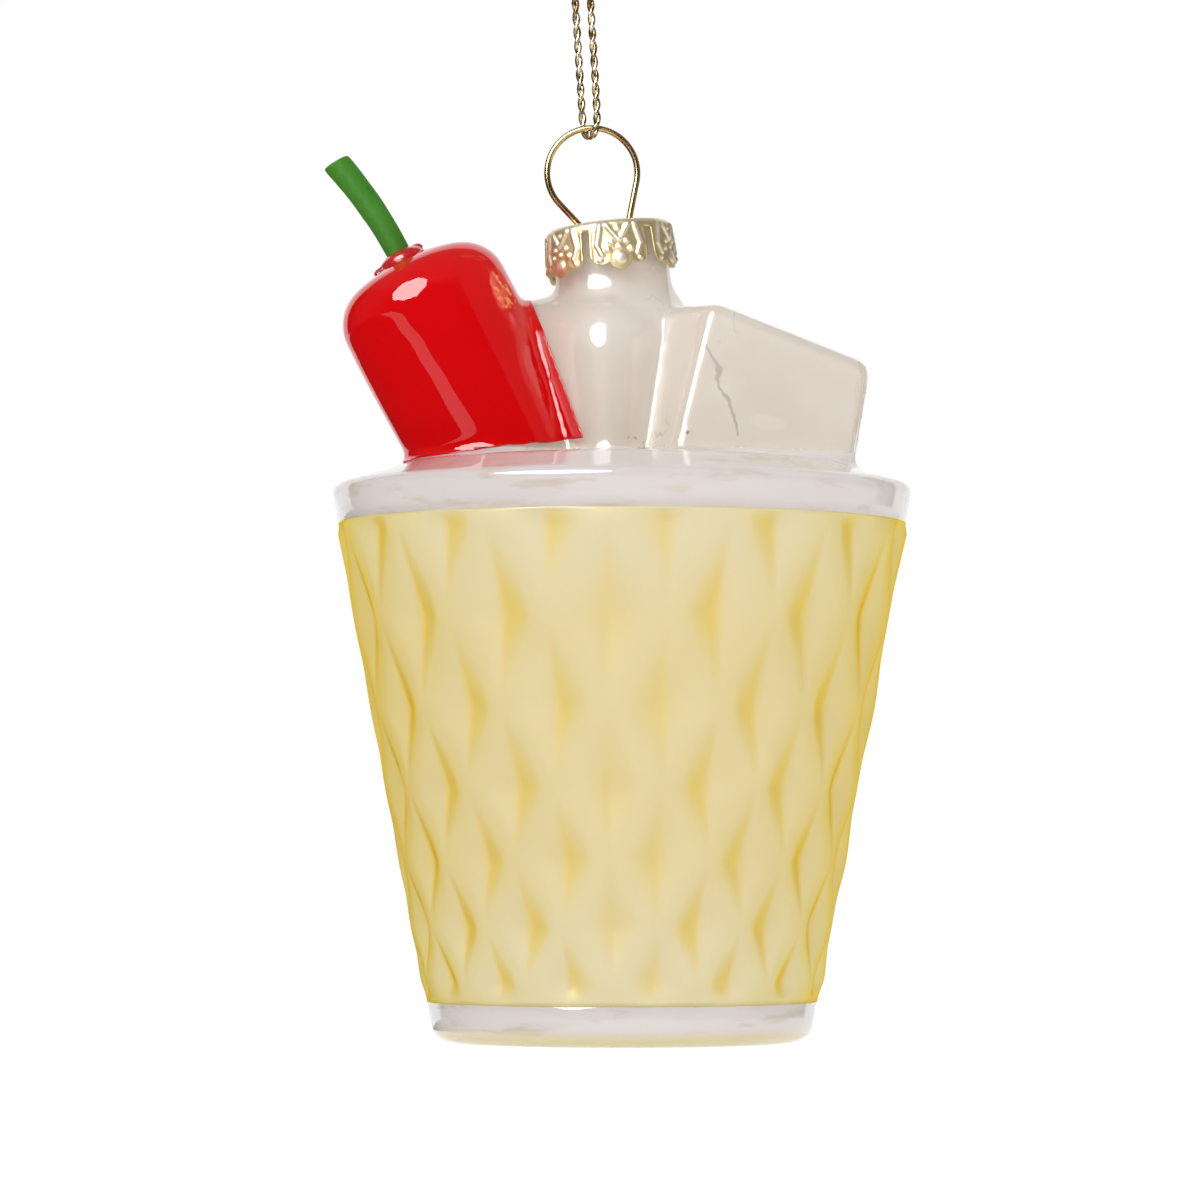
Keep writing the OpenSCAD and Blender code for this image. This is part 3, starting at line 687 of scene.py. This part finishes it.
def wall_radius(angle, z):
    """Radius of the cut wall at a turn and a height."""
    swell = WAVE * math.cos(math.pi * row_at(z)) * math.cos(column_at(angle) * math.pi)
    return taper(z) + (POINT_H + swell - pit_depth(angle, z)) * cut_share(z)


def shoulder_z(r):
    """Height of the shoulder at a radius."""
    return RIM_Z + (RIM_R - SHOULDER_INSET - r) * SHOULDER_SLOPE


def yellow_coat():
    """The lacquer skin over the cut wall: its grid runs along the creases of the pits."""
    rows = [COAT_TOP, *ROW_GRID, FOOT_H + 1.44, FOOT_H + 0.72, FOOT_H]
    bm = lathe([(taper(z), z) for z in rows], COLUMNS * CELL_STEPS)
    bmesh.ops.rotate(bm, cent=(0, 0, 0), matrix=Matrix.Rotation(CUT_TURN, 3, "Z"), verts=bm.verts)
    pit_film_shade = bm.verts.layers.float.new("valley")
    for v in bm.verts:
        angle, z = math.atan2(v.co.y, v.co.x), v.co.z
        r, turned = wall_radius(angle, z), bent(angle, z)
        v.co.x, v.co.y = r * math.cos(turned), r * math.sin(turned)
        # the pits' deeper yellow: part film run in, part painted shade
        v[pit_film_shade] = cut_share(z) * pit_film_and_shade(angle, z)
    made = piece("yellow_coat", bm, IN_GLASS, "glass", "frosted_yellow", ["yellow_lacquer"],
                 frosted_yellow())
    thicken(made, COAT, -1, even=False)


def ice_block(corners, edge):
    """A block of ice with eased edges, from its upper and lower corners: left, front, right, back."""
    bm = bmesh.new()
    made = bmesh.ops.create_cube(bm, size=1)["verts"]
    order = {(-1, 1): 0, (-1, -1): 1, (1, -1): 2, (1, 1): 3}
    for v in made:
        upper, lower = corners[order[(round(2 * v.co.x), round(2 * v.co.y))]]
        v.co = upper if v.co.z > 0 else lower
    ease(bm, bm.edges[:], edge, 4)
    return bm


def chili_lobe():
    """The chili's body, from inside the tumbler's top to the foot of its stem."""
    profile = [(0, -8), (9.6, -8), (10.3, -2), (10.55, 6), (CHILI_R - 0.1, 14), (CHILI_R, 19)]
    profile += arc((CHILI_R - 5.4, 22.2), 5.4, 8, 78, 7) + [(3.4, 28.3), (1.6, 28.9), (0, CHILI_L)]
    bm = lathe(profile, 72)
    bmesh.ops.transform(bm, matrix=ON_CHILI, verts=bm.verts)
    return bm


def neck_tube():
    """The neck with its spreading root, drawn longer than it is and cut at the mouth later."""
    profile = [(0, -4), (8.9, -4), (8.4, -0.9), (7.5, 0.3), (NECK_R, 1.7), (NECK_R, 12), (0, 12)]
    bm = lathe(profile, 64)
    bmesh.ops.transform(bm, matrix=ON_NECK, verts=bm.verts)
    return bm


# the blown top ends at the first radius, and the lathed body at the second; a strip bridges them
SEAM_R, LATHE_R = 33.3, 34.2
# pearl begins at the first height; open edges below the second belong to the seam
PEARL_Z, SEAM_LIMIT = TOP_Z + 1.2, TOP_Z + 3
TOP_VOXEL, GLUE_VOXEL = 0.5, 0.14
# upper and lower corners of the two lumps of ice, and how far their edges are eased
LUMP_EDGE, CUBE_EDGE = 6.5, 1.7
LUMP = [((-19.5, 3.0, 94.0), (-13.0, 1.5, 64)), ((-1.5, -15.5, 92.4), (-1.5, -15.5, 64)),
        ((12.5, 1.0, 93.3), (11.5, 1.0, 64)), ((1.0, 16.0, 92.4), (1.0, 16.0, 64))]
CUBE = [((-2.3, 5.3, 92.0), (-5.0, 5.3, 63)), ((11.3, -15.8, 91.2), (4.0, -16.4, 63)),
        ((31.8, -3.2, 84.2), (28.2, -3.6, 63)), ((19.8, 17.6, 88.4), (16.4, 18.2, 63))]


def glass_top():
    """Shoulder, ice, chili lobe and neck blown as one bubble, open at the mouth and at its seam."""
    disc = lathe([(0, 60), (35.9, 60), (35.9, shoulder_z(35.9)), (28.8, shoulder_z(28.8)),
                  (27.6, 71.75), (26.2, TOP_Z), (0, TOP_Z)], 96)
    lump, cube = ice_block(LUMP, LUMP_EDGE), ice_block(CUBE, CUBE_EDGE)
    bm = fused(joined([disc, lump, cube, chili_lobe(), neck_tube()]), TOP_VOXEL)
    soften(bm, 5)
    fill_creases(bm, 14)
    below = [v for v in bm.verts if v.co.z < TOP_Z - 6 or v.co.z < TOP_Z - 1.2 and v.co.xy.length > SEAM_R]
    bmesh.ops.delete(bm, geom=below, context="VERTS")
    cut_off(bm, ON_NECK @ Vector((0, 0, NECK_H - 0.05)), ON_NECK.to_3x3() @ Vector((0, 0, 1)))
    # the seam is drawn to a true circle on the shoulder
    for v in bm.verts:
        if v.is_boundary and v.co.z < SEAM_LIMIT:
            angle = math.atan2(v.co.y, v.co.x)
            v.co = (SEAM_R * math.cos(angle), SEAM_R * math.sin(angle), shoulder_z(SEAM_R))
    return bm


def red_coat(top):
    """The red skin: the part of the bubble left of the crease and above the slanting paint edge."""
    bm = top.copy()
    slant = math.radians(7)
    # a place on each edge of the paint and the way off it: by the ice, below, and at the left
    edges = ((Vector((-8.4, 0, 84.4)), Vector((0.938, 0, 0.347))),
             (Vector((-14.5, 0, TOP_Z + 1.4)), Vector((math.sin(slant), 0, -math.cos(slant)))),
             (Vector((-27.2, 0, TOP_Z)), Vector((-0.8, 0, -0.6))))
    for place, off in edges:
        cut_off(bm, place, off)
    # the brush line wavers by a quarter of a millimetre
    for v in bm.verts:
        if v.is_boundary:
            v.co += Vector((0, 0, 1)) * 0.25 * noise.noise(v.co * 0.45)
    made = piece("red_coat", bm, IN_GLASS, "glass", "gloss_red", ["red_lacquer"], gloss_red())
    thicken(made, COAT, 1, even=False)


def glass_shell(top):
    """The whole bubble: foot and wall from the lathe, bridged to the blown top at its seam."""
    foot_r = taper(FOOT_ROUND)
    foot = [(0, 0.5), (8, 0.4), (15, 0.15), (foot_r - FOOT_ROUND - 1, 0)]
    foot += arc((foot_r - FOOT_ROUND, FOOT_ROUND), FOOT_ROUND, -80, 0, 8)
    foot += [(taper(FOOT_H) - 0.02, FOOT_H - 0.05)]
    # the glass lies wholly under the coat, below its deepest pit
    under = PIT_DEPTH + WAVE - POINT_H + COAT + 0.1
    wall = [(taper(z) - under, z) for z in spaced(FOOT_H + 1.5, COAT_TOP - 1.0, 6)]
    rim = [(taper(z), z) for z in (COAT_TOP + 0.05, CUT_Z + 0.9, CUT_Z + 1.8, CUT_Z + 2.7)]
    # the rim's edge is a curve from a height on the wall to a radius on the shoulder
    start_z, end_r = 67.9, 34.9
    corner = [Vector((taper(start_z), start_z)), Vector((RIM_R, RIM_Z)), Vector((end_r, shoulder_z(end_r)))]
    rim += [tuple(corner[0] * (1 - t) ** 2 + corner[1] * 2 * t * (1 - t) + corner[2] * t * t)
            for t in spaced(0, 1, 6)]
    rim += [(LATHE_R, shoulder_z(LATHE_R))]
    bm = lathe(foot + wall + rim, 144)
    # the ice, chili and neck are pearled inside; the thickness gives inner faces the next material
    for f in top.faces:
        f.material_index = 2 if f.calc_center_median().z > PEARL_Z else 0
    bm = joined([bm, top])
    seam = [e for e in bm.edges if e.is_boundary and e.verts[0].co.z < SEAM_LIMIT]
    bmesh.ops.bridge_loops(bm, edges=seam)
    bmesh.ops.recalc_face_normals(bm, faces=bm.faces)
    outside, inside = hazed_glass("hazed blown glass", 1.0), hazed_glass("inside of hazed glass", 0.0)
    made = piece("glass_shell", bm, IN_GLASS, "glass", "clear_glass", ["glass_body"],
                 outside, inside, glass_over_pearl(), pearl_lacquer())
    thicken(made, WALL, -1, material_offset=1)


# Stem and glue

def chili_stem():
    """A short length of bent rod with a slanting cut, standing in the glue."""
    bend_r = STEM_L / STEM_BEND
    bm = bmesh.new()
    ring = bmesh.ops.create_circle(bm, cap_ends=True, segments=28, radius=STEM_R)["verts"]
    bmesh.ops.spin(bm, geom=ring + list({e for v in ring for e in v.link_edges}) + bm.faces[:],
                   cent=(-bend_r, 0, 0), axis=(0, -1, 0), dvec=(0, 0, 0), angle=STEM_BEND, steps=26)
    middle = Vector((-bend_r, 0, 0))
    for v in bm.verts:
        turn = math.atan2(v.co.z, v.co.x - middle.x)
        share = turn / STEM_BEND
        heart = middle + bend_r * Vector((math.cos(turn), 0, math.sin(turn)))
        side = v.co - heart
        around = math.atan2(side.y, side.dot(Vector((math.cos(turn), 0, math.sin(turn)))))
        swell = 1 + (STEM_TIP_R / STEM_R - 1) * share + 0.02 * math.sin(3 * around + 1) \
            + 0.03 * noise.noise(Vector((3 * math.cos(around), 3 * math.sin(around), 5 * share)))
        v.co = heart + side * swell
        # the tip is cut at a slant
        if share > 0.97:
            v.co.z += side.x * -math.tan(TIP_CUT)
    bmesh.ops.remove_doubles(bm, verts=bm.verts, dist=0.002)
    bmesh.ops.recalc_face_normals(bm, faces=bm.faces)
    rims = [e for e in bm.edges if len(e.link_faces) == 2 and e.calc_face_angle(0) > 1.0]
    ease(bm, rims, 0.16, 3)
    piece("green_stem", bm, IN_GLASS @ ON_CHILI @ Matrix.Translation((0, 0, CHILI_L)), "glass",
          "stem_green", ["chili_stem"], stem_plastic())


def stem_glue():
    """Beads and runs of glue round the stem's foot, fused into one collar."""
    # turn round the stem, distance, height, size, and how far it runs outward
    drops = [(8, 2.1, 0.15, 0.85, 1.3), (40, 2.0, -0.1, 0.7, 1.2), (95, 1.9, -0.2, 0.6, 1.0),
             (150, 2.0, -0.3, 0.7, 1.2), (185, 2.6, -0.5, 0.75, 2.0), (207, 3.2, -0.75, 0.5, 2.4),
             (250, 1.9, -0.25, 0.65, 1.0), (310, 2.0, -0.05, 0.75, 1.2)]
    bm = bmesh.new()
    for turn, out, up, size, run in drops:
        place = Matrix.Rotation(math.radians(turn), 4, "Z") @ Matrix.Translation((out, 0, up))
        bmesh.ops.create_icosphere(bm, subdivisions=3, radius=size,
                                   matrix=place @ Matrix.Diagonal((run, 1.15, 0.8, 1)))
    collar = lathe([(STEM_R + 0.03, -0.5), (STEM_R + 1.5, -0.6), (STEM_R + 1.2, 0.2), (STEM_R + 0.5, 0.6),
                    (STEM_R + 0.1, 0.85), (STEM_R + 0.03, -0.5)], 48)
    bm = fused(joined([bm, collar]), GLUE_VOXEL)
    soften(bm, 9)
    piece("glue_collar", bm, IN_GLASS @ ON_CHILI @ Matrix.Translation((0, 0, CHILI_L)), "glass",
          "glue_red", ["stem_glue"], glue_red())


# Cap and wire

# where the slits between the skirt's lobes begin, and half a lobe's width
SLIT_TOP, LOBE_HALF = -1.25, 3.58
# ribs from point to point with their half width, and beads, across a lobe and down from the top
RIBS = [((-1.45, -0.7), (0, -2.75), 0.3), ((1.45, -0.7), (0, -2.75), 0.3),
        ((-2.2, -0.75), (-2.75, -3.2), 0.36), ((2.2, -0.75), (2.75, -3.2), 0.36),
        ((-2.75, -3.2), (-2.2, -4.5), 0.3), ((2.75, -3.2), (2.2, -4.5), 0.3)]
BEADS = [(0, -1.25, 0.34), (-0.95, -2.9, 0.36), (0.95, -2.9, 0.36), (-1.45, -3.85, 0.36),
         (1.45, -3.85, 0.36), (0, -3.6, 0.34), (0, -4.95, 0.72), (-2.5, -5.1, 0.3), (2.5, -5.1, 0.3)]


def lobe_bottom(x):
    """Height of a lobe's lower edge: one long scallop between two short ones."""
    circles = ((0, -5.0, 1.4), (-2.3, -4.4, 1.28), (2.3, -4.4, 1.28))
    lows = [z - math.sqrt(r * r - (x - at) ** 2) for at, z, r in circles if abs(x - at) < r]
    return min(lows, default=-4.4)


def stamping(x, z):
    """Height of the stamped pattern at a place on a lobe, from 0 to 1."""
    best = 0.0
    spot = Vector((x, z))
    for a, b, half in RIBS:
        _, share = geometry.intersect_point_line(spot, Vector(a), Vector(b))
        foot = Vector(a).lerp(Vector(b), min(1.0, max(0.0, share)))
        away = (spot - foot).length / half
        if away < 1.25:
            best = max(best, 1 - smooth_step(0.35, 1.25, away))
    for bx, bz, r in BEADS:
        away = math.hypot(x - bx, z - bz) / r
        if away < 1.1:
            best = max(best, math.sqrt(max(0.0, 1 - (away / 1.1) ** 2)))
    return best


def crown_cap():
    """Stamped cap: a holed top, a rounded edge, and a skirt of six scalloped lobes."""
    top_r = NECK_R + CAP_GAP + SHEET
    profile = [(HOLE_R, -0.05), (HOLE_R + 0.12, 0.0), (5.0, 0.0), (6.0, 0.0)]
    profile += arc((top_r - CAP_ROUND, -CAP_ROUND), CAP_ROUND, 90, 0, 6)
    profile += [(top_r + SKIRT_FLARE * (-z - CAP_ROUND) / (SKIRT_H - CAP_ROUND), z)
                for z in spaced(SLIT_TOP, -SKIRT_H, 34)]
    bm = lathe(profile, 288)
    # the stamping's height, which the gold colours as painted highlight on the ribs and painted shade in the
    # ground
    relief = bm.verts.layers.float.new("relief")
    lobe = 2 * math.pi / LOBES

    def across(point):
        """Distance from the middle line of the nearest lobe, along the skirt."""
        turn = (math.atan2(point.y, point.x) - LOBE_TURN + lobe / 2) % lobe - lobe / 2
        return turn * top_r

    gone = [f for f in bm.faces if abs(across(f.calc_center_median())) > LOBE_HALF
            and f.calc_center_median().z < SLIT_TOP]
    bmesh.ops.delete(bm, geom=gone, context="FACES")
    for v in bm.verts:
        x, r = across(v.co), v.co.xy.length
        if v.co.z < SLIT_TOP:
            v.co.z = SLIT_TOP + (v.co.z - SLIT_TOP) * (lobe_bottom(x) - SLIT_TOP) / (-SKIRT_H - SLIT_TOP)
        # the flat top has no stamping, and a tone between the painted shade of the ground and the painted
        # highlight of the ribs
        raised = stamping(x, v.co.z) if v.co.z < -0.5 else 0.0
        v[relief] = raised if v.co.z < -0.5 else 0.6
        edge = LOBE_HALF - abs(x)
        curl = 0.16 * (1 - smooth_step(0.0, 0.5, edge)) if v.co.z < SLIT_TOP else 0.0
        grown = (r + STAMP_H * raised + curl) / r
        v.co.x, v.co.y = v.co.x * grown, v.co.y * grown
    made = piece("gold_cap", bm, ON_CAP, "cap", "gold_cap", ["crown_cap"], gold_sheet())
    thicken(made, SHEET * 0.7, -1)


def hanger_wire():
    """The bent wire as drawn in the part, with its facets rounded."""
    bm = bmesh.new()
    bm.from_mesh(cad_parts["hanger_wire"].data)
    bmesh.ops.remove_doubles(bm, verts=bm.verts, dist=2e-6)
    piece("wire_ring", bm, Matrix.Identity(4), "hanger", "bronze_wire", ["hanger_wire"], bronze_wire())


# Cord

# twist of the plies, spacing of points along a line, and the plies' place and radius: cord, and knot
TWIST, STEP = 3.6, 0.3
LOOP_PLY, KNOT_PLY = (0.24, 0.27), (0.22, 0.26)
FRAYS, FRAY_R = 7, 0.06
# from one end under the knot, down through the ring and up to the other end
CORD_ROUTE = [
    (-0.6, 0, 1), (-1.1, 0.1, -1), (-1.5, 0.2, -3), (-1.2, 0.3, -6), (-0.5, 0.4, -10),
    (0.1, 0.6, -20), (0.6, 0.8, -30), (1.2, 1, -40), (1.5, 1.15, -44.6), (1.7, 1.1, -45.8),
    (2, 0.75, -46.5), (2.4, 0, -46.8), (2.8, -0.75, -46.5), (3.1, -1.1, -45.8),
    (3.3, -1.15, -44.6), (3.1, -1, -40), (2.5, -0.8, -30), (2, -0.6, -20), (1.5, -0.4, -10),
    (1.6, -0.3, -6), (1.6, -0.2, -3), (1.1, -0.1, -1), (0.6, 0, 1)]


def flowing(points, step):
    """A smooth line through the points, with its own points about a step apart."""
    points = [Vector(p) for p in points]
    ends = [points[0] * 2 - points[1], *points, points[-1] * 2 - points[-2]]
    line = []
    for before, a, b, after in zip(ends, ends[1:], ends[2:], ends[3:]):
        count = max(2, math.ceil((b - a).length / step) + 1)
        line += geometry.interpolate_bezier(a, a + (b - before) / 6, b - (after - a) / 6, b, count)[:-1]
    return line + [points[-1]]


def plies(line, count, pitch, out, radius):
    """Plies twisted round a line, as one mesh of round threads."""
    heads = [(b - a).normalized() for a, b in zip(line, line[1:])]
    heads.append(heads[-1])
    side = heads[0].orthogonal().normalized()
    run = 0.0
    tracks = [[] for _ in range(count)]
    for i, (p, head) in enumerate(zip(line, heads)):
        side = (side - head * side.dot(head)).normalized()
        other = head.cross(side)
        run += (p - line[i - 1]).length if i else 0.0
        for k, track in enumerate(tracks):
            turn = 2 * math.pi * (run / pitch + k / count)
            track.append(p + out * (math.cos(turn) * side + math.sin(turn) * other))
    curve = bpy.data.curves.new("plies", "CURVE")
    curve.dimensions = "3D"
    curve.bevel_depth = radius
    curve.bevel_resolution = 2
    curve.use_fill_caps = True
    for track in tracks:
        spline = curve.splines.new("POLY")
        spline.points.add(len(track) - 1)
        for point, place in zip(spline.points, track):
            point.co = (*place, 1)
    yarn = bpy.data.objects.new("plies", curve)
    scene.collection.objects.link(yarn)
    mesh = bpy.data.meshes.new_from_object(yarn)
    bm = bmesh.new()
    bm.from_mesh(mesh)
    bpy.data.objects.remove(yarn)
    bpy.data.curves.remove(curve)
    bpy.data.meshes.remove(mesh)
    return bm


def hanging_cord():
    """Two-ply gold cord in a loop through the ring, closed by a knot with two frayed tails."""
    yarn = gold_yarn()
    line = flowing(CORD_ROUTE, STEP)
    bm = plies(line, 2, TWIST, *LOOP_PLY)
    cord = piece("cord_loop", bm, TO_METRES, "cord", "gold_cord", ["hanging_cord"], yarn)
    # the knot: three turns round the strands, one strand over them, and two tails
    wraps = [(1.22 * math.cos(t), 1.22 * math.sin(t), 1.45 + 2.5 * t / (6 * math.pi))
             for t in spaced(0, 6 * math.pi, 60)]
    over = [(1.25, -0.5, 1.3), (0.9, -1.45, 2.0), (0, -1.75, 2.7), (-0.9, -1.45, 3.4), (-1.2, -0.5, 4.1)]
    core = [[(s * 0.6, 0, 1), (s * 0.45, 0, 2), (s * 0.5, 0, 3.2), (s * 0.9, 0.1 * s, 5),
             (s * 1.5, 0.3 * s, 7.4), (s * 2.3, 0.3 * s, 9.6)] for s in (-1, 1)]
    parts = [plies(flowing(run, STEP), 2, TWIST, *KNOT_PLY) for run in (wraps, over)]
    for run in core:
        parts.append(plies(flowing(run, STEP), 2, TWIST, *KNOT_PLY))
        tip = Vector(run[-1])
        for k in range(FRAYS):
            fray = tip + Vector((run[-1][0] * 0.1 + 0.35 * math.cos(k * 2.4), 0.35 * math.sin(k * 2.4), 0.8))
            strand = [tip - Vector((0, 0, 0.6)), (tip * 2 + fray) / 3, fray]
            parts.append(plies(flowing(strand, STEP), 1, TWIST, 0, FRAY_R))
    knot = piece("cord_knot_tied", joined(parts), TO_METRES, "cord", "gold_cord", ["cord_knot"], yarn)


set_camera()
hanging_cord()
set_world()
set_stage()
bubble_top = glass_top()
red_coat(bubble_top)
glass_shell(bubble_top)
yellow_coat()
chili_stem()
stem_glue()
crown_cap()
hanger_wire()
scene.view_settings.view_transform = "Standard"
